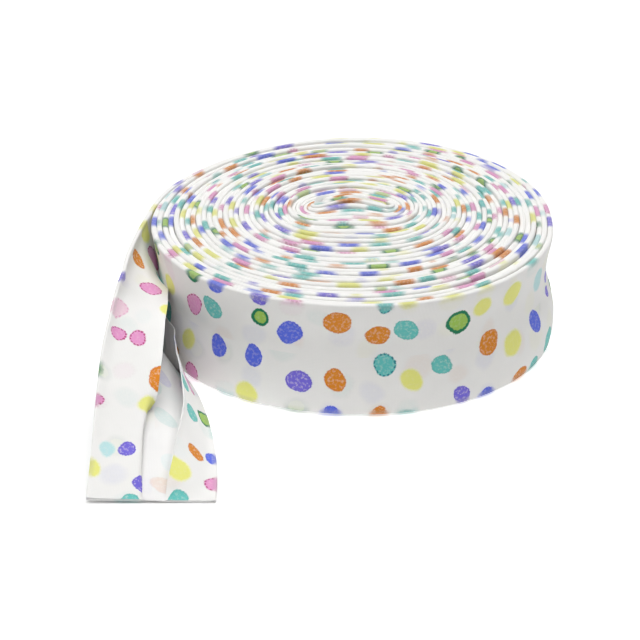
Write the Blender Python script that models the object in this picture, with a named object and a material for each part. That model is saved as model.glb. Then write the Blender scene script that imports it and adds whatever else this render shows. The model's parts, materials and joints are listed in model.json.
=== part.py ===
# Roll of folded bias binding lying on its side, with one loose end that twists out flat.
# Metres, +Z up. The origin is on the winding's axis, on the surface that the roll lies on.
# -Y is the side that the loose end comes out to, and +X is to the right seen from there.
import bpy
import bmesh
from math import cos, exp, pi, radians, sin
from mathutils import Vector

MM = 0.001

# The folded tape: its width between the two folds, and the layers that the solids are made of
TAPE_WIDTH = 25.0 * MM
LAYER = 1.0 * MM
LAYER_GAP = 0.3 * MM
TAPE_THICKNESS = 2 * LAYER + LAYER_GAP
FLAP_WIDTH = 10.6 * MM
FOLD_CORNER = 0.45 * MM
CLEARANCE = 0.3 * MM

# The winding: the outer radius, and the pitch of the main ridges on its face
ROLL_RADIUS = 43.75 * MM
TURN_PITCH = TAPE_THICKNESS + CLEARANCE
LAPS = 15
CORE_RADIUS = ROLL_RADIUS - LAPS * TURN_PITCH
SEGMENTS = 60
END_ANGLE = radians(150.0)

# The outermost lap steps in by one pitch behind the loose end, and swells out again past it
STEP_HELD = 0.15
STEP_EASED = 0.40
ROUND_LAPS = 5.0

# The turns in the middle are pressed to a flat oval, bent like a bean and set a little back
CORE_STRETCH = 7.0 * MM
CORE_STRETCH_FADE = 7.0 * MM
CORE_SET_BACK = 3.0 * MM
BEND_RISE = 2.2 * MM
BEND_WIDTH = 5.0 * MM
BEND_FADE = 4.0 * MM
CORE_LEAN = 0.5

# The outline is a little out of round: height of each swelling, how many there are, where one lies
OUT_OF_ROUND = (
    (0.77 * MM, 2, radians(30.0)),
    (0.60 * MM, 3, radians(78.0)),
)

# The face of the winding: groove depth, its low crown, and how unevenly the ridges stand
GROOVE_DEPTH = 0.9 * MM
CROWN = 0.9 * MM
RIDGE_UNEVEN = 0.25 * MM
RIDGE_SHOULDERS = (0.28, 0.72)

# The wall: the small turn-in at the bottom fold, and the slack in the lower half at the right
FOOT_CHAMFER = 0.5 * MM
WALL_HEIGHTS = (17.5 * MM, 12.0 * MM, 6.5 * MM, FOOT_CHAMFER)
SLACK = 0.9 * MM
SLACK_HEIGHT = 9.0 * MM
SLACK_SPREAD = 6.0 * MM
SLACK_ANGLE = radians(-15.0)
SLACK_SWEEP = radians(32.0)

# The loose end goes on from the outermost lap. Its lower fold follows the wall first, given as
# the angle round the axis, how far it stands off the outline, and the tilt of the tape.
ALONG_WALL = (
    (150.6, 0.33, 0.0),
    (158.0, 0.32, 0.0),
    (166.0, 0.28, 0.0),
    (174.0, 0.22, 0.0),
    (183.0, 0.22, 1.5),
    (193.0, 0.40, 6.0),
    (204.0, 0.75, 15.0),
)
# Then it crosses the surface, given as x, y and tilt. A tilt of 90 degrees is flat.
ALONG_SURFACE = (
    (-36.6, -26.0, 31.0),
    (-33.4, -33.0, 43.0),
    (-31.0, -41.0, 55.0),
    (-29.4, -50.0, 65.0),
    (-28.2, -59.0, 74.0),
    (-27.5, -67.3, 82.0),
    (-27.3, -75.1, 88.0),
)
STATIONS_PER_SPAN = 4
LEAN_ANGLE = radians(180.0)
FULL_LEAN_TILT = 40.0
FLAP_LIFT = 1.2 * MM


def remove_objects():
    for thing in list(bpy.data.objects):
        bpy.data.objects.remove(thing, do_unlink=True)


def ease(t):
    t = min(max(t, 0.0), 1.0)
    return t * t * (3.0 - 2.0 * t)


def cloth_material(name, colour, roughness):
    material = bpy.data.materials.new(name)
    material.use_nodes = True
    shader = material.node_tree.nodes["Principled BSDF"]
    shader.inputs["Base Color"].default_value = (*colour, 1.0)
    shader.inputs["Roughness"].default_value = roughness
    shader.inputs["Metallic"].default_value = 0.0
    return material


def add_object(name, mesh_data, material):
    mesh = bpy.data.meshes.new(name)
    bmesh.ops.recalc_face_normals(mesh_data, faces=mesh_data.faces)
    mesh_data.to_mesh(mesh)
    mesh_data.free()
    mesh.materials.append(material)
    mesh.shade_smooth()
    mesh.set_sharp_from_angle(angle=radians(35.0))
    thing = bpy.data.objects.new(name, mesh)
    bpy.context.collection.objects.link(thing)
    return thing


# Radius of the line between two turns, so many laps out from the core
def line_radius(laps):
    whole = int(laps)
    part = laps - whole
    eased = ease((part - STEP_HELD) / (STEP_EASED - STEP_HELD))
    outer = ease((laps - (LAPS - ROUND_LAPS)) / ROUND_LAPS)
    return CORE_RADIUS + TURN_PITCH * (laps + outer * (eased - part))


# Place of a point at this radius and angle, with the flat oval core and the uneven outline
def winding_point(radius, angle, height):
    out = radius / ROLL_RADIUS
    swell = sum(rise * cos(count * (angle - place)) for rise, count, place in OUT_OF_ROUND)
    stretch = 0.5 * CORE_STRETCH * exp(-(radius - CORE_RADIUS) / CORE_STRETCH_FADE)
    x = (radius + stretch + swell * out ** 3) * cos(angle)
    y = (radius - stretch + swell * out ** 3) * sin(angle)
    bend = BEND_RISE * exp(-(radius - CORE_RADIUS) / BEND_FADE) * exp(-(x / BEND_WIDTH) ** 2)
    return Vector((x, y + bend + CORE_SET_BACK * (1.0 - out ** 2), height))


def face_height(radius, angle, depth):
    out = radius / ROLL_RADIUS
    uneven = RIDGE_UNEVEN * sin(3.0 * angle + 40.0 * out) * sin(1.7 * angle + 23.0 * out)
    return TAPE_WIDTH - RIDGE_UNEVEN + CROWN * (1.0 - out ** 2) + uneven * (1.0 - out ** 4) - depth


def slack_at(angle, height):
    turned = (angle - SLACK_ANGLE + pi) % (2 * pi) - pi
    raised = (height - SLACK_HEIGHT) / SLACK_SPREAD
    return SLACK * exp(-(turned / SLACK_SWEEP) ** 2) * exp(-raised ** 2)


# One solid: a spiral of ridges on the face, the wall of the outermost lap, and a flat underside
def make_roll(material):
    bm = bmesh.new()
    step = 2 * pi / SEGMENTS
    grooves = {}
    shoulders = {}
    for index in range(LAPS * SEGMENTS + 1):
        angle = END_ANGLE + index * step
        radius = line_radius(index / SEGMENTS)
        height = face_height(radius, angle, GROOVE_DEPTH)
        grooves[index] = bm.verts.new(winding_point(radius, angle, height))
    for index in range((LAPS - 1) * SEGMENTS + 1):
        angle = END_ANGLE + index * step
        inner = line_radius(index / SEGMENTS)
        outer = line_radius(index / SEGMENTS + 1)
        for side, share in enumerate(RIDGE_SHOULDERS):
            radius = inner + share * (outer - inner)
            shoulders[index, side] = bm.verts.new(
                winding_point(radius, angle, face_height(radius, angle, 0.0)))

    # The ridges, one strip of three faces across for each segment
    for index in range((LAPS - 1) * SEGMENTS):
        near = (grooves[index], shoulders[index, 0], shoulders[index, 1], grooves[index + SEGMENTS])
        far = (grooves[index + 1], shoulders[index + 1, 0], shoulders[index + 1, 1],
               grooves[index + 1 + SEGMENTS])
        for row in range(3):
            bm.faces.new((near[row], near[row + 1], far[row + 1], far[row]))

    # The core inside the first lap: the folded start of the tape, as one ridge from tip to tip
    left_tip = round((pi - END_ANGLE) / step)
    half = SEGMENTS // 2
    ridge = {}
    for count in range(1, half):
        front = grooves[left_tip + count].co
        back = grooves[(left_tip - count) % SEGMENTS].co
        middle = CORE_LEAN * front + (1.0 - CORE_LEAN) * back
        ridge[count] = bm.verts.new(middle + Vector((0, 0, GROOVE_DEPTH * sin(pi * count / half))))
    ridge[0] = grooves[left_tip]
    ridge[half] = grooves[left_tip + half]
    for count in range(half):
        front = [grooves[left_tip + count], grooves[left_tip + count + 1]]
        back = [grooves[(left_tip - count - 1) % SEGMENTS], grooves[(left_tip - count) % SEGMENTS]]
        if count == left_tip:
            back = [back[0], grooves[SEGMENTS], shoulders[0, 1], shoulders[0, 0], grooves[0]]
        for loop in (front + [ridge[count + 1], ridge[count]], back + [ridge[count], ridge[count + 1]]):
            bm.faces.new(list(dict.fromkeys(loop)))

    # The wall of the outermost lap, from its groove line down to the underside
    columns = []
    for index in range((LAPS - 1) * SEGMENTS, LAPS * SEGMENTS + 1):
        angle = END_ANGLE + index * step
        radius = line_radius(index / SEGMENTS)
        column = [grooves[index]]
        for height in WALL_HEIGHTS:
            column.append(bm.verts.new(winding_point(radius + slack_at(angle, height), angle, height)))
        column.append(bm.verts.new(winding_point(radius - FOOT_CHAMFER, angle, 0.0)))
        columns.append(column)
    for here, there in zip(columns, columns[1:]):
        for row in range(len(here) - 1):
            bm.faces.new((here[row], there[row], there[row + 1], here[row + 1]))

    # The cut end of the outermost lap, and the flat underside
    last = (LAPS - 1) * SEGMENTS
    start, end = columns[0], columns[-1]
    bm.faces.new([start[0], shoulders[last, 0], shoulders[last, 1]] + end + start[:0:-1])
    bm.faces.new([column[-1] for column in columns])
    return add_object("binding_roll", bm, material)


# Outline of the folded tape, as distances from the lower fold and up from the printed side
def tape_section(lift):
    width, thick, corner = TAPE_WIDTH, TAPE_THICKNESS, FOLD_CORNER
    inside = LAYER + LAYER_GAP
    half = [
        (0.5 * width, 0.0),
        (width - corner, 0.0),
        (width, corner),
        (width, thick - corner),
        (width - corner, thick),
        (width - FLAP_WIDTH, thick + lift),
        (width - FLAP_WIDTH, inside + lift),
        (width - LAYER, inside),
        (width - LAYER, LAYER),
    ]
    other = [(width - across, up) for across, up in reversed(half[1:])]
    return half + other


# Points between the given ones, on a smooth curve through all of them
def smooth_through(points, per_span):
    curve = []
    for index in range(len(points) - 1):
        before = points[max(index - 1, 0)]
        here = points[index]
        there = points[index + 1]
        after = points[min(index + 2, len(points) - 1)]
        for count in range(per_span):
            t = count / per_span
            curve.append(0.5 * (2 * here + (there - before) * t
                                + (2 * before - 5 * here + 4 * there - after) * t ** 2
                                + (3 * here - before - 3 * there + after) * t ** 3))
    curve.append(points[-1])
    return curve


# One folded sheet: it leaves the wall upright, then tilts outwards until its printed side is down
def make_loose_end(material):
    route = [winding_point(ROLL_RADIUS + stand_off * MM, radians(angle), tilt)
             for angle, stand_off, tilt in ALONG_WALL]
    route += [Vector((x * MM, y * MM, tilt)) for x, y, tilt in ALONG_SURFACE]
    stations = smooth_through(route, STATIONS_PER_SPAN)
    lean = Vector((cos(LEAN_ANGLE), sin(LEAN_ANGLE), 0.0))
    bm = bmesh.new()
    rings = []
    for index, station in enumerate(stations):
        back = stations[max(index - 1, 0)]
        ahead = stations[min(index + 1, len(stations) - 1)]
        heading = Vector((ahead.x - back.x, ahead.y - back.y, 0.0)).normalized()
        outward = Vector((heading.y, -heading.x, 0.0))
        outward = outward.lerp(lean, ease(station.z / FULL_LEAN_TILT)).normalized()
        tilt = radians(station.z)
        across = Vector((0, 0, cos(tilt))) + outward * sin(tilt)
        inward = Vector((0, 0, sin(tilt))) - outward * cos(tilt)
        foot = Vector((station.x, station.y, 0.0))
        section = tape_section(FLAP_LIFT * ease(tilt / (0.5 * pi)))
        rings.append([bm.verts.new(foot + across * along + inward * up) for along, up in section])
    count = len(rings[0])
    for here, there in zip(rings, rings[1:]):
        for index in range(count):
            follow = (index + 1) % count
            bm.faces.new((here[index], here[follow], there[follow], there[index]))
    bm.faces.new(rings[0])
    bm.faces.new(reversed(rings[-1]))
    return add_object("loose_end", bm, material)


remove_objects()
roll_cloth = cloth_material("roll_cloth", (0.88, 0.88, 0.85), 0.85)
end_cloth = cloth_material("loose_end_cloth", (0.86, 0.87, 0.85), 0.85)
make_roll(roll_cloth)
make_loose_end(end_cloth)
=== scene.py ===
# Roll of bias binding in dotted cotton, lying on its side, with its end unwound and turned over
import bpy
import json
import numpy as np
from math import cos, exp, pi, radians, sin, sqrt
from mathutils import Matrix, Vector

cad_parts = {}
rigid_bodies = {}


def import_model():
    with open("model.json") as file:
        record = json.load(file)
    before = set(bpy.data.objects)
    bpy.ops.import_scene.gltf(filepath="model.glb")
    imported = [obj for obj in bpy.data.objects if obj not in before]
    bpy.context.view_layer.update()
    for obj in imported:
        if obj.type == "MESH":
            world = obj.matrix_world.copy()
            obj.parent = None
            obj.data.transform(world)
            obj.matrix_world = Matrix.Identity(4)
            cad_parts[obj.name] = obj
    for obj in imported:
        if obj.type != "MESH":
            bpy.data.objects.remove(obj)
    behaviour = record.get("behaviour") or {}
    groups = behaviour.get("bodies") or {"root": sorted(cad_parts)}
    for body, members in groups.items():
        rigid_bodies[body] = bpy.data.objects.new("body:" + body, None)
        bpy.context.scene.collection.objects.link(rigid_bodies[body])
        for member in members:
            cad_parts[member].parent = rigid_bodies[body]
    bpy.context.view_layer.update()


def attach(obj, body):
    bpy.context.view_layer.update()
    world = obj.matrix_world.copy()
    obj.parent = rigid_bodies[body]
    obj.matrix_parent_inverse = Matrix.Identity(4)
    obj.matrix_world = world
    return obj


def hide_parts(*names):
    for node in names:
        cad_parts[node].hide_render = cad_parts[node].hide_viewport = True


mm = 0.001

for thing in list(bpy.data.objects):
    bpy.data.objects.remove(thing, do_unlink=True)

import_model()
bpy.ops.object.select_all(action='DESELECT')
print("frame loaded")

# The camera looks down over the front of the roll with a long lens
cameraValues = {
    "aim": (-6.93 * mm, 0.0, -0.2 * mm),  # what lies in the middle of the picture
    "distance": 500.0 * mm,
    "elevation": radians(27.85),
    "lens": 126.56,
    "sensor": 36.0,
    "nearest": 10.0 * mm,  # what is nearer isn't drawn
}


def makeCamera(values):
    aim = Vector(values["aim"])
    away = Vector((0.0, -cos(values["elevation"]), sin(values["elevation"])))
    data = bpy.data.cameras.new("camera")
    data.lens = values["lens"]
    data.sensor_width = values["sensor"]
    data.clip_start = values["nearest"]
    thing = bpy.data.objects.new("camera", data)
    bpy.context.collection.objects.link(thing)
    thing.location = aim + away * values["distance"]
    thing.rotation_euler = away.to_track_quat('Z', 'Y').to_euler()
    bpy.context.scene.camera = thing


makeCamera(cameraValues)
print("camera made")


def ease(t):
    t = min(max(t, 0.0), 1.0)
    return t * t * (3.0 - 2.0 * t)


# The tape: a bias strip with both raw edges folded over to its wrong side
tapeValues = {
    "width": 25.0 * mm,  # between the two folds
    "cloth": 0.24 * mm,  # thickness of one layer
    "lowerFlap": 10.0 * mm,
    "upperFlap": 11.7 * mm,
    "foldRadius": 0.6 * mm,  # of the printed side round a fold
    "pressedRadius": 0.36 * mm,  # at the cut end, where the folds are pressed flat
    "foldSquareness": 0.68,  # 1 is round
    "widestFold": 0.8 * mm,
    "flapDepth": 0.5 * mm,  # from the printed side of the base to that of a pressed flap
    "settleRun": 3.0 * mm,  # how far from the fold the flap is pressed down
    "openingRun": 2.0 * mm,  # and how far from it an open flap bends
    "flapSteps": 24,
    "sharpFrom": radians(60.0),  # smaller turns of the surface are shaded smooth
}

# The winding, out from the pressed core to the outermost turn
rollValues = {
    "radius": 43.75 * mm,
    "core": 5.1 * mm,
    "laps": 33,
    "endAngle": radians(150.0),  # where the loose end leaves
    "stepHeld": 0.15,  # shares of a lap between which the outer turns step out
    "stepEased": 0.40,
    "roundLaps": 11,  # how many outer turns do
    "coreStretch": 3.85 * mm,
    "stretchFade": 10.0 * mm,
    "tipRoundness": 0.22,
    "setBack": 3.0 * mm,
    "bendRise": 4.6 * mm,
    "bendWidth": 5.5 * mm,
    "bendSpread": 0.5,  # the bend is wider on the outer turns
    "bendFade": 8.5 * mm,
    "crown": 0.9 * mm,  # how much higher the face is in the middle
    "uneven": 0.34 * mm,  # how much higher than the wall the turns stand on the face
    "unevenSwing": 0.7,  # and the share of it that comes and goes
    "levelLaps": 1.2,  # outermost turns that stand level
    "turnGap": -0.06 * mm,  # below zero the turns are pressed together
    "coreRoom": 1.2 * mm,  # room for the folds at the start of the tape
    "firstRoom": 1.0 * mm,  # and in the first lap
    "pressSwing": 0.1,  # the folds are pressed a little unevenly
    "pressWave": 9.0 * mm,
    "longestStep": 2.6 * mm,  # between two stations
    "widestTurn": radians(7.0),
    "bentStep": 0.22,  # shortens the steps over the bent core
    "wallLean": radians(2.4),  # at the left the feet of the outer turns are pressed in
    "leanAngle": radians(190.0),
    "leanSweep": radians(38.0),
    "dent": 0.5 * mm,  # the roll is a little flat at the right
    "dentSweep": radians(12.0),
    "slack": 0.8 * mm,  # the wall stands off a little, low down at the right
    "slackHeight": 7.0 * mm,
    "slackSpread": 6.0 * mm,
    "slackAngle": radians(-15.0),
    "slackSweep": radians(32.0),
    "trough": 0.2 * mm,  # soft hollow between the raw edges of the flaps
    "troughHeight": 12.2 * mm,
    "troughSpread": 1.7 * mm,
}
# The wall is waisted all round, as the folds and flaps are its thicker parts: height and depth in mm
waist = ((0.0, -0.65), (3.0, -0.5), (6.0, -0.25), (9.0, 0.25), (11.0, 0.62), (13.0, 1.0), (14.5, 1.15),
         (16.0, 1.18), (17.5, 1.12), (19.0, 0.95), (21.5, 0.52), (24.0, 0.06), (25.0, 0.0))
swellings = (  # height, how many round the roll, and where one lies
    (0.77 * mm, 2, radians(30.0)),
    (0.60 * mm, 3, radians(78.0)),
)
unevenWaves = (  # share, length of tape for each radian, and where it begins
    (1.0, 29.0 * mm, 0.0),
    (0.8, 61.0 * mm, 1.0),
    (0.4, 9.0 * mm, 2.0),
)


def turnRadius(laps):
    v = rollValues
    pitch = (v["radius"] - v["core"]) / v["laps"]
    part = laps - int(laps)
    eased = ease((part - v["stepHeld"]) / (v["stepEased"] - v["stepHeld"]))
    outer = ease((laps - (v["laps"] - v["roundLaps"])) / v["roundLaps"])
    return v["core"] + pitch * (laps + outer * (eased - part))


def turnedBy(angle):  # the same angle, between -180 and 180 degrees
    return (angle + pi) % (2 * pi) - pi


def bentBack(x, y, radius):  # the core is bent like a bean and set back
    v = rollValues
    width = v["bendWidth"] + v["bendSpread"] * (radius - v["core"])
    bend = v["bendRise"] * exp(-(radius - v["core"]) / v["bendFade"]) * exp(-(x / width) ** 2)
    return Vector((x, y + bend + v["setBack"] * (1.0 - (radius / v["radius"]) ** 2), 0.0))


def windingPoint(radius, angle):
    v = rollValues
    out = radius / v["radius"]
    swell = sum(rise * cos(count * (angle - place)) for rise, count, place in swellings)
    swell = (swell - v["dent"] * exp(-(turnedBy(angle) / v["dentSweep"]) ** 2)) * out ** 3
    stretch = v["coreStretch"] * exp(-(radius - v["core"]) / v["stretchFade"])
    tip = v["tipRoundness"]
    side = cos(angle) * sqrt((1.0 + tip ** 2) / (cos(angle) ** 2 + tip ** 2))
    x = 2.0 * stretch * side + (radius - stretch + swell) * cos(angle)
    y = (radius - stretch + swell) * sin(angle)
    return bentBack(x, y, radius)


def smoothThrough(points, perSpan):  # more points, on a smooth curve through the given ones
    curve = []
    for index in range(len(points) - 1):
        before = points[max(index - 1, 0)]
        here = points[index]
        there = points[index + 1]
        after = points[min(index + 2, len(points) - 1)]
        for count in range(perSpan):
            t = count / perSpan
            curve.append(0.5 * (2 * here + (there - before) * t
                                + (2 * before - 5 * here + 4 * there - after) * t ** 2
                                + (3 * here - before - 3 * there + after) * t ** 3))
    curve.append(points[-1])
    return curve


# The start of the tape, inside the first lap: a straight run, a round hook and the way back
startValues = {
    "run": ((-6.9, -0.2), (-3.5, -0.35), (0.0, -0.38), (3.2, -0.42), (5.4, -0.5)),  # x and y in mm
    "hookCentre": (6.6 * mm, 0.4 * mm),
    "hookRadius": 1.0 * mm,
    "hookAngles": (-60.0, 0.0, 60.0),
    "back": ((5.2, 1.3), (0.0, 1.22), (-4.5, 1.2), (-6.9, 1.0)),
    "perSpan": 4,
}


def startStations(values):
    points = [Vector((x * mm, y * mm, 0.0)) for x, y in values["run"]]
    across, deep = values["hookCentre"]
    for angle in values["hookAngles"]:
        turned = radians(angle)
        points.append(Vector((across + values["hookRadius"] * cos(turned),
                              deep + values["hookRadius"] * sin(turned), 0.0)))
    points += [Vector((x * mm, y * mm, 0.0)) for x, y in values["back"]]
    core = rollValues["core"]
    placed = [bentBack(point.x, point.y, core) for point in points]
    placed.append(windingPoint(core, rollValues["endAngle"]))
    return [{"foot": point, "laps": 0.0} for point in smoothThrough(placed, values["perSpan"])[:-1]]


def windingStations():
    v = rollValues
    stations = []
    laps = 0.0
    while laps < v["laps"] - 1e-6:
        radius = turnRadius(laps)
        angle = v["endAngle"] + 2 * pi * laps
        place = windingPoint(radius, angle)
        stations.append({"foot": place, "laps": laps})
        turn = min(v["widestTurn"], v["longestStep"] / radius)
        reach = (windingPoint(radius, angle + turn) - place).length
        laps += turn * min(1.0, v["bentStep"] * radius / reach) / (2 * pi)
    return stations


# The loose end: it follows the wall, given by angle, stand-off and tilt in degrees and mm
alongWall = (
    (150.0, 0.00, 0.0),
    (154.0, 0.20, 0.0),
    (159.0, 0.32, 0.0),
    (166.0, 0.28, 0.0),
    (174.0, 0.22, 0.0),
    (183.0, 0.22, 1.5),
    (193.0, 0.40, 6.0),
    (204.0, 0.75, 15.0),
)
# Then it crosses the floor, given by x, y and tilt, until its printed side lies down
alongFloor = (
    (-36.6, -26.0, 31.0),
    (-33.4, -33.0, 43.0),
    (-31.0, -41.0, 55.0),
    (-29.1, -50.0, 65.0),
    (-27.8, -59.0, 74.0),
    (-27.1, -67.5, 82.0),
    (-26.95, -75.8, 88.5),
)
looseValues = {
    "perSpan": 8,
    "leanAngle": radians(180.0),
    "fullLeanTilt": 40.0,
    # how many degrees each flap stands open, by the share of the way along
    "upperOpen": ((0.0, 0.0), (0.16, 1.0), (0.30, 5.0), (0.40, 12.0), (0.46, 25.0), (0.50, 35.0),
                  (0.57, 35.0), (0.64, 35.0), (0.72, 27.0), (0.76, 20.0), (0.80, 12.0), (0.84, 9.0),
                  (0.93, 7.0), (0.97, 2.0), (0.985, 0.0), (1.0, 0.0)),
    "lowerOpen": ((0.0, 0.0), (0.30, 2.0), (0.40, 9.0), (0.46, 21.0), (0.50, 30.0), (0.54, 33.0),
                  (0.58, 25.5), (0.64, 24.5), (0.71, 31.0), (0.79, 36.0), (0.82, 35.0), (0.89, 28.0),
                  (0.93, 23.0), (0.96, 16.0), (0.985, 1.0), (1.0, 0.0)),
    # the upper flap's raw edge is cut a little unevenly
    "upperReach": ((0.0, 1.0), (0.62, 1.0), (0.71, 1.08), (0.79, 1.07), (0.85, 1.0), (1.0, 1.0)),
    # how far each raw edge curls, downwards below zero
    "upperCurl": ((0.0, 0.0), (0.50, 12.0), (0.74, 10.0), (0.78, -20.0), (0.81, -150.0), (0.88, -165.0),
                  (0.94, -110.0), (1.0, 0.0)),
    "lowerCurl": ((0.0, 0.0), (0.50, 10.0), (0.80, 12.0), (1.0, 0.0)),
    "curlStart": 0.76,  # share of the flap's width where the curl begins
    "curlWidth": 0.16,
}


def looseStations(values):
    route = []
    for angle, standOff, tilt in alongWall:
        place = windingPoint(rollValues["radius"] + standOff * mm, radians(angle))
        route.append(Vector((place.x, place.y, tilt)))
    route += [Vector((x * mm, y * mm, tilt)) for x, y, tilt in alongFloor]
    curve = smoothThrough(route, values["perSpan"])

    def atShare(name, share):
        stops, amounts = zip(*values[name])
        return float(np.interp(share, stops, amounts))

    stations = []
    for index, point in enumerate(curve):
        share = index / (len(curve) - 1)
        stations.append({
            "foot": Vector((point.x, point.y, 0.0)),
            "laps": float(rollValues["laps"]),
            "tilt": point.z,
            "open": (radians(atShare("upperOpen", share)), radians(atShare("lowerOpen", share))),
            "curl": (radians(atShare("upperCurl", share)), radians(atShare("lowerCurl", share))),
            "reach": atShare("upperReach", share),
        })
    return stations


# Every station of the tape, from its start in the core to its cut end, with its directions
def tapeStations():
    v = rollValues
    stations = startStations(startValues) + windingStations() + looseStations(looseValues)
    lean = Vector((cos(looseValues["leanAngle"]), sin(looseValues["leanAngle"]), 0.0))
    along = 0.0
    for index, station in enumerate(stations):
        back = stations[max(index - 1, 0)]["foot"]
        ahead = stations[min(index + 1, len(stations) - 1)]["foot"]
        if index:
            along += (station["foot"] - back).length
        heading = (ahead - back).normalized()
        outward = Vector((heading.y, -heading.x, 0.0))
        slant = station.get("tilt", 0.0)
        station["tilted"] = ease(slant / looseValues["fullLeanTilt"])
        outward = outward.lerp(lean, station["tilted"]).normalized()
        tilt = radians(slant)
        laps = station["laps"]
        angle = v["endAngle"] + 2 * pi * laps
        out = turnRadius(laps) / v["radius"]
        if "tilt" not in station:
            turned = turnedBy(angle - v["leanAngle"])
            tilt = v["wallLean"] * exp(-(turned / v["leanSweep"]) ** 2) * out ** 6
            station["foot"] = station["foot"] - outward * sin(tilt) * tapeValues["width"]
        station["across"] = Vector((0.0, 0.0, cos(tilt))) + outward * sin(tilt)
        station["inward"] = Vector((0.0, 0.0, sin(tilt))) - outward * cos(tilt)
        station["along"] = along

        # Each fold is as round as the room between two turns lets it be
        room = v["firstRoom"]
        if laps > 1.0:
            inner = windingPoint(turnRadius(laps - 1.0), angle)
            room = (windingPoint(turnRadius(laps), angle) - inner).length
        elif laps == 0.0:
            room = v["coreRoom"]
        press = 1.0 - v["pressSwing"] * sin(along / v["pressWave"]) ** 2
        radius = min(tapeValues["widestFold"], 0.5 * (room - v["turnGap"]) * press)
        flatness = ease(slant / 90.0)
        station["foldRadius"] = radius + (tapeValues["pressedRadius"] - radius) * flatness

        # The turns stand unevenly on the face, and the face is a little higher in the middle
        wave = sum(share * sin(along / length + begin) for share, length, begin in unevenWaves)
        inside = ease((v["laps"] - laps) / v["levelLaps"])
        rise = v["crown"] * (1.0 - out ** 2) + v["uneven"] * (1.0 + v["unevenSwing"] * wave)
        station["rise"] = max(rise, 0.0) * inside
        station["angle"] = angle
        station["waist"] = out ** 2 * (1.0 - station["tilted"])
    return stations


def slackAt(angle, height):
    v = rollValues
    turned = turnedBy(angle - v["slackAngle"])
    raised = (height - v["slackHeight"]) / v["slackSpread"]
    return v["slack"] * exp(-(turned / v["slackSweep"]) ** 2) * exp(-raised ** 2)


def waistAt(height):
    heights, depths = zip(*waist)
    return float(np.interp(height / mm, heights, depths)) * mm


def flapOffset(run, flap, foldRadius, opening, curl):  # along the tape's width, and away from the base
    v = tapeValues
    steps = v["flapSteps"]
    settle = (2.0 * foldRadius - v["flapDepth"]) / (0.5 * v["settleRun"])
    along, away = 0.0, 0.0
    for index in range(steps):
        reached = run * (index + 0.5) / steps
        turn = opening * ease(reached / v["openingRun"])
        turn -= settle * (1.0 - ease(reached / v["settleRun"]))
        turn += curl * ease((reached / flap - looseValues["curlStart"]) / looseValues["curlWidth"])
        along += cos(turn) * run / steps
        away += sin(turn) * run / steps
    return along, away


def flatRuns():  # widths of the lower flap, a fold, the base and the upper flap on the flat cloth
    v = tapeValues
    radius = v["foldRadius"]
    return v["lowerFlap"] - radius, pi * radius, v["width"] - 2.0 * radius, v["upperFlap"] - radius


# Rows of points across the cloth: zone, place in the zone, and distance across the flat cloth
def clothRows(flapShares, foldSteps, baseShares):
    lowerRun, foldRun, baseRun, upperRun = flatRuns()
    foldShares = [step / foldSteps for step in range(foldSteps + 1)]
    rows = [("lowerFlap", share * lowerRun, (1.0 - share) * lowerRun) for share in reversed(flapShares)]
    rows += [("lowerFold", share, lowerRun + foldRun * share) for share in foldShares]
    start = lowerRun + foldRun
    rows += [("base", share, start + baseRun * share) for share in baseShares]
    start += baseRun
    rows += [("upperFold", share, start + foldRun * share) for share in foldShares]
    start += foldRun
    rows += [("upperFlap", share * upperRun, start + share * upperRun) for share in flapShares]
    return rows


def rowPlace(station, zone, place):  # up the width of the tape, and in from its printed side
    v = tapeValues
    radius = station["foldRadius"]
    opening = station.get("open", (0.0, 0.0))
    curl = station.get("curl", (0.0, 0.0))
    if zone in ("lowerFold", "upperFold"):
        side = abs(cos(pi * place)) ** v["foldSquareness"] * (1.0 if place < 0.5 else -1.0)
        beyond = radius * abs(sin(pi * place)) ** v["foldSquareness"]
        if zone == "lowerFold":
            return radius - beyond, radius + radius * side
        return v["width"] - radius + beyond, radius - radius * side
    if zone == "lowerFlap":
        along, away = flapOffset(place, v["lowerFlap"], radius, opening[1], curl[1])
        return radius + along, 2.0 * radius + away
    if zone == "upperFlap":
        reach = station.get("reach", 1.0)
        along, away = flapOffset(place * reach, v["upperFlap"] * reach, radius, opening[0], curl[0])
        return v["width"] - radius - along, 2.0 * radius + away
    height = radius + place * (v["width"] - 2.0 * radius)
    raised = (height - rollValues["troughHeight"]) / rollValues["troughSpread"]
    hollow = rollValues["trough"] * exp(-raised ** 2)
    bulge = 0.0
    if station["laps"] > rollValues["laps"] - 1.0:
        bulge = slackAt(station["angle"], height) * (1.0 - station["tilted"])
    return height, hollow - bulge


clothMaterials = []


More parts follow.
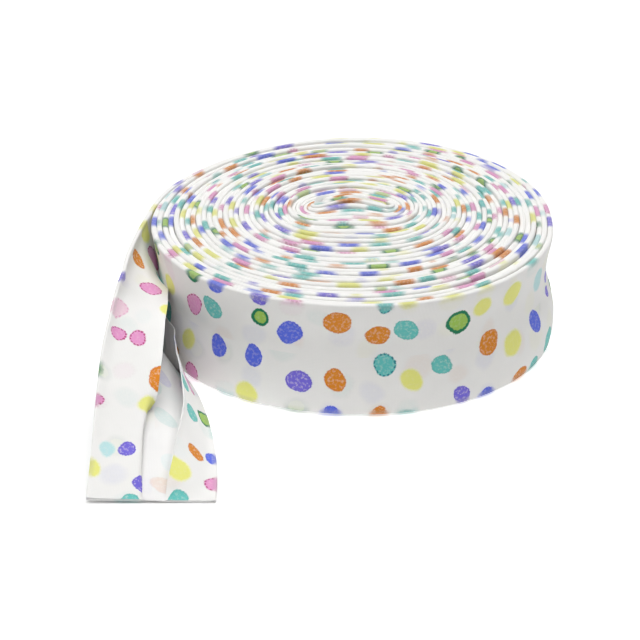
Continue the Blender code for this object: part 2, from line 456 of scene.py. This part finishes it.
def makeTape(name, stations, rows):
    points = []
    for station in stations:
        foot = station["foot"] + Vector((0.0, 0.0, station["rise"]))
        for zone, place, _ in rows:
            up, deep = rowPlace(station, zone, place)
            deep += station["waist"] * waistAt(up)
            points.append(foot + station["across"] * up + station["inward"] * deep)
    wide = len(rows)
    faces = []
    for index in range(len(stations) - 1):
        for row in range(wide - 1):
            corner = index * wide + row
            faces.append((corner, corner + wide, corner + wide + 1, corner + 1))
    mesh = bpy.data.meshes.new(name)
    mesh.from_pydata(points, [], faces)
    places = np.array([(station["along"], row[2]) for station in stations for row in rows])
    corners = np.empty(len(mesh.loops), dtype=np.int32)
    mesh.loops.foreach_get("vertex_index", corners)
    layer = mesh.uv_layers.new(name="cloth")
    layer.data.foreach_set("uv", places[corners].astype(np.float32).ravel())
    thing = bpy.data.objects.new(name, mesh)
    bpy.context.collection.objects.link(thing)
    for material in clothMaterials:
        mesh.materials.append(material)

    bpy.ops.object.select_all(action='DESELECT')
    bpy.context.view_layer.objects.active = thing
    thing.select_set(True)
    thickness = thing.modifiers.new("thickness", 'SOLIDIFY')
    thickness.thickness = tapeValues["cloth"]
    thickness.offset = -1.0
    thickness.use_even_offset = True
    thickness.material_offset = 1
    thickness.material_offset_rim = 1
    bpy.ops.object.modifier_apply(modifier=thickness.name)
    thing.data.shade_smooth()
    thing.data.set_sharp_from_angle(angle=tapeValues["sharpFrom"])
    thing.select_set(False)

    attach(thing, "root")
    return thing


def srgb(red, green, blue):
    def linear(value):
        value /= 255.0
        return value / 12.92 if value <= 0.04045 else ((value + 0.055) / 1.055) ** 2.4
    return (linear(red), linear(green), linear(blue), 1.0)


def addNode(tree, kind, **settings):
    node = tree.nodes.new(kind)
    for name, value in settings.items():
        setattr(node, name, value)
    return node


def feed(tree, socket, value):
    if isinstance(value, bpy.types.NodeSocket):
        tree.links.new(value, socket)
    else:
        socket.default_value = value


def maths(tree, operation, *values):
    node = addNode(tree, "ShaderNodeMath", operation=operation)
    for socket, value in zip(node.inputs, values):
        feed(tree, socket, value)
    return node.outputs[0]


def vectors(tree, operation, *values):
    node = addNode(tree, "ShaderNodeVectorMath", operation=operation)
    for socket, value in zip(node.inputs, values):
        feed(tree, socket, value)
    return node.outputs["Value" if operation == 'LENGTH' else "Vector"]


def softStep(tree, value, low, high):
    node = addNode(tree, "ShaderNodeMapRange", interpolation_type='SMOOTHSTEP')
    feed(tree, node.inputs["Value"], value)
    feed(tree, node.inputs["From Min"], low)
    feed(tree, node.inputs["From Max"], high)
    return node.outputs["Result"]


def mixColours(tree, share, first, second):
    node = addNode(tree, "ShaderNodeMix", data_type='RGBA')
    feed(tree, node.inputs["Factor"], share)
    colours = [socket for socket in node.inputs if socket.type == 'RGBA']
    feed(tree, colours[0], first)
    feed(tree, colours[1], second)
    return [socket for socket in node.outputs if socket.type == 'RGBA'][0]


def newGroup(name, inputs, outputs):
    tree = bpy.data.node_groups.new(name, "ShaderNodeTree")
    for label, kind in inputs:
        tree.interface.new_socket(name=label, in_out='INPUT', socket_type=kind)
    for label, kind in outputs:
        tree.interface.new_socket(name=label, in_out='OUTPUT', socket_type=kind)
    return tree, addNode(tree, "NodeGroupInput"), addNode(tree, "NodeGroupOutput")


# The printed dots. Each paint has its share of the dots, its fill, and its edge line
dotPaints = (
    {"share": 0.19, "fill": srgb(104, 196, 190), "edge": srgb(92, 184, 178), "width": 0.25, "dashed": 0.0,
     "flecks": 0.5, "soft": 0.16},  # teal
    {"share": 0.17, "fill": srgb(238, 238, 136), "edge": srgb(240, 240, 150), "width": 0.3, "dashed": 0.0,
     "flecks": 0.15, "soft": 0.42},  # yellow
    {"share": 0.12, "fill": srgb(90, 110, 228), "edge": srgb(84, 102, 222), "width": 0.25, "dashed": 0.0,
     "flecks": 0.35, "soft": 0.14},  # blue
    {"share": 0.13, "fill": srgb(230, 154, 202), "edge": srgb(182, 54, 120), "width": 0.34, "dashed": 1.0,
     "flecks": 0.3, "soft": 0.14},  # pink, with a dashed edge
    {"share": 0.12, "fill": srgb(222, 136, 32), "edge": srgb(214, 122, 30), "width": 0.25, "dashed": 0.0,
     "flecks": 0.6, "soft": 0.16},  # orange
    {"share": 0.07, "fill": srgb(156, 196, 88), "edge": srgb(20, 122, 84), "width": 0.78, "dashed": 0.0,
     "flecks": 0.2, "soft": 0.14},  # light green in a dark green ring
    {"share": 0.08, "fill": srgb(120, 108, 220), "edge": srgb(110, 96, 210), "width": 0.25, "dashed": 0.0,
     "flecks": 0.7, "soft": 0.14},  # violet
    {"share": 0.05, "fill": srgb(100, 194, 190), "edge": srgb(34, 130, 142), "width": 0.36, "dashed": 1.0,
     "flecks": 0.4, "soft": 0.14},  # teal, with a dashed edge
    {"share": 0.03, "fill": srgb(190, 228, 230), "edge": srgb(196, 232, 232), "width": 0.2, "dashed": 0.0,
     "flecks": 0.3, "soft": 0.35},  # pale teal
    {"share": 0.03, "fill": srgb(196, 214, 150), "edge": srgb(120, 188, 170), "width": 0.34, "dashed": 1.0,
     "flecks": 0.3, "soft": 0.2},  # pale green, with a dashed edge
    {"share": 0.02, "fill": srgb(240, 206, 220), "edge": srgb(228, 150, 190), "width": 0.25, "dashed": 1.0,
     "flecks": 0.3, "soft": 0.3},  # pale pink
)
dotValues = {
    "cell": 8.6,  # mean distance between two dots in mm
    "scatter": 0.66,
    "radius": 2.62,  # in mm, as the wobble, the fuzz and the lines are
    "leastSize": 0.87,
    "sizeSpread": 0.32,
    "leastFlatness": 1.06,
    "flatnessSpread": 0.34,
    "shuffle": 7.3,  # gives the flatness its own chance
    "room": 0.96,  # a dot may fill this much of the room between its neighbours
    "wobble": 0.36,
    "wobbleScale": 0.3,
    "fuzz": 0.2,
    "fuzzScale": 2.4,
    "fleckScale": 1.5,
    "fleckRoughness": 0.6,
    "flecks": (0.46, 0.74),  # from where to where in the noise the paint thins
    "fleckColour": srgb(250, 240, 232),
    "fleckShare": 0.6,
    "dashes": 14.0,  # round one dot
    "dashGaps": (0.16, 0.24),  # from where to where in each dash it begins
    "dashUneven": 0.7,
    "lineSoftness": 0.1,
}


def steppedRamp(tree, share, colours):
    node = addNode(tree, "ShaderNodeValToRGB")
    node.color_ramp.interpolation = 'CONSTANT'
    feed(tree, node.inputs["Fac"], share)
    total = sum(paint["share"] for paint in dotPaints)
    reached = 0.0
    for index, (paint, colour) in enumerate(zip(dotPaints, colours)):
        stops = node.color_ramp.elements
        stop = stops[index] if index < 2 else stops.new(reached / total)
        stop.position = reached / total
        stop.color = colour
        reached += paint["share"]
    return node.outputs["Color"]


def makeDotPrint():  # place on the flat cloth in mm -> colour of the dot there, and how much it covers
    v = dotValues
    inputs = [("Place", 'NodeSocketVector'), ("Blur", 'NodeSocketFloat'), ("Shrink", 'NodeSocketFloat')]
    tree, entry, leave = newGroup("dotPrint", inputs,
                                  [("Colour", 'NodeSocketColor'), ("Cover", 'NodeSocketFloat')])
    place = entry.outputs["Place"]
    cells = addNode(tree, "ShaderNodeTexVoronoi", voronoi_dimensions='2D', feature='F1')
    room = addNode(tree, "ShaderNodeTexVoronoi", voronoi_dimensions='2D', feature='N_SPHERE_RADIUS')
    for node in (cells, room):
        feed(tree, node.inputs["Vector"], place)
        node.inputs["Scale"].default_value = 1.0 / v["cell"]
        node.inputs["Randomness"].default_value = v["scatter"]
    chances = addNode(tree, "ShaderNodeSeparateColor")
    feed(tree, chances.inputs["Color"], cells.outputs["Color"])
    choice, turn, size = chances.outputs

    # Hand-drawn edges wander a little
    wander = addNode(tree, "ShaderNodeTexNoise", noise_dimensions='2D')
    feed(tree, wander.inputs["Vector"], place)
    wander.inputs["Scale"].default_value = v["wobbleScale"]
    wander.inputs["Detail"].default_value = 0.0
    shift = vectors(tree, 'SUBTRACT', wander.outputs["Color"], (0.5, 0.5, 0.5))
    shift = vectors(tree, 'MULTIPLY', shift, (2.0 * v["wobble"], 2.0 * v["wobble"], 0.0))
    offset = vectors(tree, 'SUBTRACT', vectors(tree, 'ADD', place, shift), cells.outputs["Position"])
    turned = addNode(tree, "ShaderNodeVectorRotate", rotation_type='Z_AXIS')
    feed(tree, turned.inputs["Vector"], offset)
    feed(tree, turned.inputs["Angle"], maths(tree, 'MULTIPLY', turn, 2.0 * pi))
    parts = addNode(tree, "ShaderNodeSeparateXYZ")
    feed(tree, parts.inputs["Vector"], turned.outputs["Vector"])
    shuffled = maths(tree, 'FRACT', maths(tree, 'MULTIPLY', size, v["shuffle"]))
    flatness = maths(tree, 'MULTIPLY_ADD', shuffled, v["flatnessSpread"], v["leastFlatness"])
    wide = parts.outputs["X"]
    tall = maths(tree, 'MULTIPLY', parts.outputs["Y"], flatness)
    squares = maths(tree, 'ADD', maths(tree, 'MULTIPLY', wide, wide), maths(tree, 'MULTIPLY', tall, tall))
    reach = maths(tree, 'SQRT', squares)
    wanted = maths(tree, 'MULTIPLY_ADD', size, v["sizeSpread"], v["leastSize"])
    wanted = maths(tree, 'MULTIPLY', wanted, v["radius"])
    most = maths(tree, 'MULTIPLY', room.outputs["Radius"], v["room"] * v["cell"])
    radius = maths(tree, 'MINIMUM', wanted, most)
    bristle = addNode(tree, "ShaderNodeTexNoise", noise_dimensions='2D')
    feed(tree, bristle.inputs["Vector"], place)
    bristle.inputs["Scale"].default_value = v["fuzzScale"]
    bristle.inputs["Detail"].default_value = 1.0
    fuzz = maths(tree, 'MULTIPLY_ADD', bristle.outputs["Fac"], 2.0 * v["fuzz"], -v["fuzz"])
    radius = maths(tree, 'ADD', radius, fuzz)
    radius = maths(tree, 'SUBTRACT', radius, entry.outputs["Shrink"])
    inside = maths(tree, 'SUBTRACT', radius, reach)

    fill = steppedRamp(tree, choice, [paint["fill"] for paint in dotPaints])
    edge = steppedRamp(tree, choice, [paint["edge"] for paint in dotPaints])
    lines = [(paint["width"], paint["dashed"], paint["flecks"], 1.0) for paint in dotPaints]
    lineParts = addNode(tree, "ShaderNodeSeparateColor")
    feed(tree, lineParts.inputs["Color"], steppedRamp(tree, choice, lines))
    width, dashed, flecks = lineParts.outputs
    softness = addNode(tree, "ShaderNodeSeparateColor")
    feed(tree, softness.inputs["Color"],
         steppedRamp(tree, choice, [(paint["soft"], 0.0, 0.0, 1.0) for paint in dotPaints]))
    soft = maths(tree, 'MAXIMUM', softness.outputs[0], entry.outputs["Blur"])
    cover = softStep(tree, inside, maths(tree, 'MULTIPLY', soft, -1.0), soft)

    # The paint is thin in soft flecks
    grain = addNode(tree, "ShaderNodeTexNoise", noise_dimensions='2D')
    feed(tree, grain.inputs["Vector"], place)
    grain.inputs["Scale"].default_value = v["fleckScale"]
    grain.inputs["Detail"].default_value = 2.0
    grain.inputs["Roughness"].default_value = v["fleckRoughness"]
    light = maths(tree, 'MULTIPLY', softStep(tree, grain.outputs["Fac"], *v["flecks"]), flecks)
    paint = mixColours(tree, light, fill, mixColours(tree, v["fleckShare"], fill, v["fleckColour"]))

    # The edge line, whole or in uneven dashes
    angle = maths(tree, 'MULTIPLY', maths(tree, 'ARCTAN2', tall, wide), v["dashes"] / (2.0 * pi))
    uneven = maths(tree, 'MULTIPLY_ADD', grain.outputs["Fac"], v["dashUneven"], -0.5 * v["dashUneven"])
    beat = maths(tree, 'ADD', maths(tree, 'PINGPONG', angle, 0.5), uneven)
    gap = maths(tree, 'SUBTRACT', 1.0, softStep(tree, beat, *v["dashGaps"]))
    whole = maths(tree, 'SUBTRACT', 1.0, maths(tree, 'MULTIPLY', dashed, gap))
    outermost = maths(tree, 'SUBTRACT', width, v["lineSoftness"])
    innermost = maths(tree, 'ADD', width, v["lineSoftness"])
    line = maths(tree, 'SUBTRACT', 1.0, softStep(tree, inside, outermost, innermost))
    line = maths(tree, 'MULTIPLY', line, whole)

    feed(tree, leave.inputs["Colour"], mixColours(tree, line, paint, edge))
    feed(tree, leave.inputs["Cover"], cover)
    return tree


# Plain weave on the bias: threads run slantwise to the tape
weaveValues = {
    "pitch": 0.42,  # mm from one thread to the next but one
    "slant": radians(45.0),
    "threadShade": 0.05,
    "cloudShade": 0.05,
    "cloudScale": 0.16,
}


def makeWeave():  # place on the flat cloth in mm -> shade of the threads, and their height
    v = weaveValues
    tree, entry, leave = newGroup("biasWeave", [("Place", 'NodeSocketVector')],
                                  [("Shade", 'NodeSocketFloat'), ("Height", 'NodeSocketFloat')])
    turned = addNode(tree, "ShaderNodeVectorRotate", rotation_type='Z_AXIS')
    feed(tree, turned.inputs["Vector"], entry.outputs["Place"])
    turned.inputs["Angle"].default_value = v["slant"]
    parts = addNode(tree, "ShaderNodeSeparateXYZ")
    feed(tree, parts.inputs["Vector"], turned.outputs["Vector"])
    warp = maths(tree, 'SINE', maths(tree, 'MULTIPLY', parts.outputs["X"], 2.0 * pi / v["pitch"]))
    weft = maths(tree, 'SINE', maths(tree, 'MULTIPLY', parts.outputs["Y"], 2.0 * pi / v["pitch"]))
    threads = maths(tree, 'MULTIPLY_ADD', maths(tree, 'MULTIPLY', warp, weft), 0.5, 0.5)
    cloudy = addNode(tree, "ShaderNodeTexNoise", noise_dimensions='2D')
    feed(tree, cloudy.inputs["Vector"], entry.outputs["Place"])
    cloudy.inputs["Scale"].default_value = v["cloudScale"]
    cloudy.inputs["Detail"].default_value = 3.0
    shade = maths(tree, 'MULTIPLY_ADD', threads, v["threadShade"], 1.0 - v["threadShade"])
    clouds = maths(tree, 'MULTIPLY_ADD', cloudy.outputs["Fac"], v["cloudShade"],
                   1.0 - 0.5 * v["cloudShade"])
    feed(tree, leave.inputs["Shade"], maths(tree, 'MULTIPLY', shade, clouds))
    feed(tree, leave.inputs["Height"], threads)
    return tree


# The two sides of the cloth. The far layer of a folded edge shows faintly through the near one
clothValues = {
    "printed": {"ground": srgb(244, 243, 240), "strength": 1.0, "blur": 0.1, "through": 0.09},
    "wrong": {"ground": srgb(241, 240, 239), "strength": 0.22, "blur": 0.35, "through": 0.04},
}
clothFinish = {
    "roughness": 0.86,
    "gloss": 0.25,
    "sheen": 0.12,
    "sheenRoughness": 0.5,
    "soak": 0.35,  # how much light goes into the cotton, and how deep
    "soakDepth": 0.6 * mm,
    "threadBump": 0.25,
    "threadHeight": 0.06 * mm,
    "farBlur": 0.9,  # in mm, of the dots on the far layer
}
# Where the cloth turns round a fold the print is pressed: its dots are smaller and softer, and there the
# paint is also darkened as painted shade of the grooves between the turns
foldWearAndShade = {
    "full": 0.7,  # within this many mm of the middle of the fold
    "none": 1.9,  # and beyond this many
    "paler": 0.16,
    "softer": 0.8,
    "smaller": 0.3,  # mm off each dot's radius
    # painted shade: how much the dots on a fold are darkened, standing in for the shade between the turns
    "foldShade": 0.2,
    "moreThrough": 0.22,
}


def makeCloth(name, values, dotPrint, weave):
    material = bpy.data.materials.new(name)
    material.use_nodes = True
    tree = material.node_tree
    shader = tree.nodes["Principled BSDF"]
    shader.inputs["Roughness"].default_value = clothFinish["roughness"]
    shader.inputs["Specular IOR Level"].default_value = clothFinish["gloss"]
    shader.inputs["Sheen Weight"].default_value = clothFinish["sheen"]
    shader.inputs["Sheen Roughness"].default_value = clothFinish["sheenRoughness"]
    shader.inputs["Subsurface Weight"].default_value = clothFinish["soak"]
    shader.inputs["Subsurface Radius"].default_value = (1.0, 1.0, 1.0)
    shader.inputs["Subsurface Scale"].default_value = clothFinish["soakDepth"]
    layer = addNode(tree, "ShaderNodeUVMap", uv_map="cloth")
    place = vectors(tree, 'MULTIPLY', layer.outputs["UV"], (1.0 / mm, 1.0 / mm, 0.0))

    # The place on the far layer is mirrored at the nearer fold
    lowerRun, foldRun, baseRun, _ = flatRuns()
    lowerFold = (lowerRun + 0.5 * foldRun) / mm
    middle = (lowerRun + foldRun + 0.5 * baseRun) / mm
    upperFold = (lowerRun + 1.5 * foldRun + baseRun) / mm
    parts = addNode(tree, "ShaderNodeSeparateXYZ")
    feed(tree, parts.inputs["Vector"], place)
    upper = maths(tree, 'GREATER_THAN', parts.outputs["Y"], middle)
    mirror = maths(tree, 'MULTIPLY_ADD', upper, 2.0 * (upperFold - lowerFold), 2.0 * lowerFold)
    far = addNode(tree, "ShaderNodeCombineXYZ")
    feed(tree, far.inputs["X"], parts.outputs["X"])
    feed(tree, far.inputs["Y"], maths(tree, 'SUBTRACT', mirror, parts.outputs["Y"]))

    toLower = maths(tree, 'ABSOLUTE', maths(tree, 'SUBTRACT', parts.outputs["Y"], lowerFold))
    toUpper = maths(tree, 'ABSOLUTE', maths(tree, 'SUBTRACT', parts.outputs["Y"], upperFold))
    toFold = maths(tree, 'MINIMUM', toLower, toUpper)
    pressedAndShadedShare = maths(tree, 'SUBTRACT', 1.0, softStep(tree, toFold, foldWearAndShade["full"], foldWearAndShade["none"]))

    near = addNode(tree, "ShaderNodeGroup", node_tree=dotPrint)
    feed(tree, near.inputs["Place"], place)
    feed(tree, near.inputs["Blur"], maths(tree, 'MULTIPLY_ADD', pressedAndShadedShare, foldWearAndShade["softer"], values["blur"]))
    feed(tree, near.inputs["Shrink"], maths(tree, 'MULTIPLY', pressedAndShadedShare, foldWearAndShade["smaller"]))
    behind = addNode(tree, "ShaderNodeGroup", node_tree=dotPrint)
    feed(tree, behind.inputs["Place"], far.outputs["Vector"])
    behind.inputs["Blur"].default_value = clothFinish["farBlur"]
    threads = addNode(tree, "ShaderNodeGroup", node_tree=weave)
    feed(tree, threads.inputs["Place"], place)
    through = maths(tree, 'MULTIPLY_ADD', pressedAndShadedShare, foldWearAndShade["moreThrough"], values["through"])
    ghost = maths(tree, 'MULTIPLY', behind.outputs["Cover"], through)
    ground = mixColours(tree, ghost, values["ground"], behind.outputs["Colour"])
    strength = maths(tree, 'MULTIPLY_ADD', pressedAndShadedShare, -foldWearAndShade["paler"] * values["strength"],
                     values["strength"])
    strength = maths(tree, 'MULTIPLY', near.outputs["Cover"], strength)
    # painted shade: the paint is darkened toward black on the folds, where shade falls between the turns
    foldShading = maths(tree, 'MULTIPLY', pressedAndShadedShare, foldWearAndShade["foldShade"])
    paint = mixColours(tree, foldShading, near.outputs["Colour"], (0.0, 0.0, 0.0, 1.0))
    colour = mixColours(tree, strength, ground, paint)
    shaded = vectors(tree, 'SCALE', colour)
    tree.links.new(threads.outputs["Shade"], shaded.node.inputs["Scale"])
    tree.links.new(shaded, shader.inputs["Base Color"])
    bump = addNode(tree, "ShaderNodeBump")
    bump.inputs["Strength"].default_value = clothFinish["threadBump"]
    bump.inputs["Distance"].default_value = clothFinish["threadHeight"]
    tree.links.new(threads.outputs["Height"], bump.inputs["Height"])
    tree.links.new(bump.outputs["Normal"], shader.inputs["Normal"])
    return material


dotPrint = makeDotPrint()
weave = makeWeave()
clothMaterials.append(makeCloth("printedSide", clothValues["printed"], dotPrint, weave))
clothMaterials.append(makeCloth("wrongSide", clothValues["wrong"], dotPrint, weave))
print("cloth materials made")

# The rows of each piece: shares across a flap, steps round a fold, and shares across the base
pieceValues = {
    "fineLaps": 2.0,  # the outermost turns, whose wall shows
    "insideRows": ((0.25, 1.0), 6, (0.33, 0.67)),
    "wallRows": ((0.2, 0.6, 1.0), 8,
                 (0.1, 0.24, 0.37, 0.43, 0.48, 0.53, 0.59, 0.66, 0.74, 0.84, 0.93)),
    "looseRows": ((0.08, 0.2, 0.36, 0.52, 0.66, 0.76, 0.81, 0.85, 0.89, 0.93, 1.0), 8,
                  (0.08, 0.18, 0.28, 0.37, 0.43, 0.48, 0.53, 0.6, 0.7, 0.8, 0.9)),
}


def makePieces(values):
    stations = tapeStations()
    fineLap = rollValues["laps"] - values["fineLaps"]
    wallStart = next(index for index, station in enumerate(stations) if station["laps"] >= fineLap)
    looseStart = next(index for index, station in enumerate(stations) if "tilt" in station)
    innerTurns = makeTape("innerTurns", stations[:wallStart + 1], clothRows(*values["insideRows"]))
    outerTurns = makeTape("outerTurns", stations[wallStart:looseStart + 1],
                          clothRows(*values["wallRows"]))
    looseEnd = makeTape("looseEnd", stations[looseStart:], clothRows(*values["looseRows"]))
    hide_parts("binding_roll")
    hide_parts("binding_roll")
    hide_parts("loose_end")


makePieces(pieceValues)

# A white floor that glows more beside the roll, as painted light that fills in its shadow, a faint
# surround and soft lights overhead and at both sides
studioValues = {
    "floorSize": 8.0,
    "floorColour": srgb(250, 250, 250),
    "floorRoughness": 0.9,
    "floorGloss": 0.1,
    "floorGlow": 0.06,
    # painted light: a ring of glow on the floor beside the roll fills in the roll's shadow there
    "shadowFillGlow": 0.33,  # more of it beside the roll
    "nearRing": (42.0 * mm, 70.0 * mm),  # from where to where it fades
    "world": 0.06,
    "lights": (  # name, place, size and power
        ("overhead", (0.0, 0.0, 1.1), 1.4, 16.9),
        ("left", (-0.7, -0.25, 0.66), 0.6, 1.6),
        ("right", (0.84, 0.1, 0.54), 0.5, 0.2),
    ),
}


def makeStudio(values):
    bpy.ops.mesh.primitive_plane_add(size=values["floorSize"])
    floor = bpy.context.object
    floor.name = "studioFloor"
    material = bpy.data.materials.new("studioFloor")
    material.use_nodes = True
    tree = material.node_tree
    shader = tree.nodes["Principled BSDF"]
    shader.inputs["Base Color"].default_value = values["floorColour"]
    shader.inputs["Roughness"].default_value = values["floorRoughness"]
    shader.inputs["Specular IOR Level"].default_value = values["floorGloss"]
    shader.inputs["Emission Strength"].default_value = 1.0
    place = addNode(tree, "ShaderNodeTexCoord")
    # painted light: the floor glows more within the ring around the roll, where the roll's shadow would
    # fall
    outside = softStep(tree, vectors(tree, 'LENGTH', place.outputs["Object"]), *values["nearRing"])
    glow = maths(tree, 'MULTIPLY_ADD', outside, -values["shadowFillGlow"],
                 values["floorGlow"] + values["shadowFillGlow"])
    brightness = addNode(tree, "ShaderNodeCombineColor")
    for socket in brightness.inputs:
        tree.links.new(glow, socket)
    tree.links.new(brightness.outputs["Color"], shader.inputs["Emission Color"])
    floor.data.materials.append(material)
    floor.select_set(False)

    for name, place, size, power in values["lights"]:
        data = bpy.data.lights.new(name, 'AREA')
        data.shape = 'SQUARE'
        data.size = size
        data.energy = power
        lamp = bpy.data.objects.new(name, data)
        bpy.context.collection.objects.link(lamp)
        lamp.location = place
        lamp.rotation_euler = Vector(place).to_track_quat('Z', 'Y').to_euler()

    world = bpy.data.worlds.new("surround")
    world.use_nodes = True
    background = world.node_tree.nodes["Background"]
    background.inputs["Color"].default_value = (1.0, 1.0, 1.0, 1.0)
    background.inputs["Strength"].default_value = values["world"]
    bpy.context.scene.world = world
    bpy.context.scene.view_settings.view_transform = 'Standard'


makeStudio(studioValues)
print("studio made")
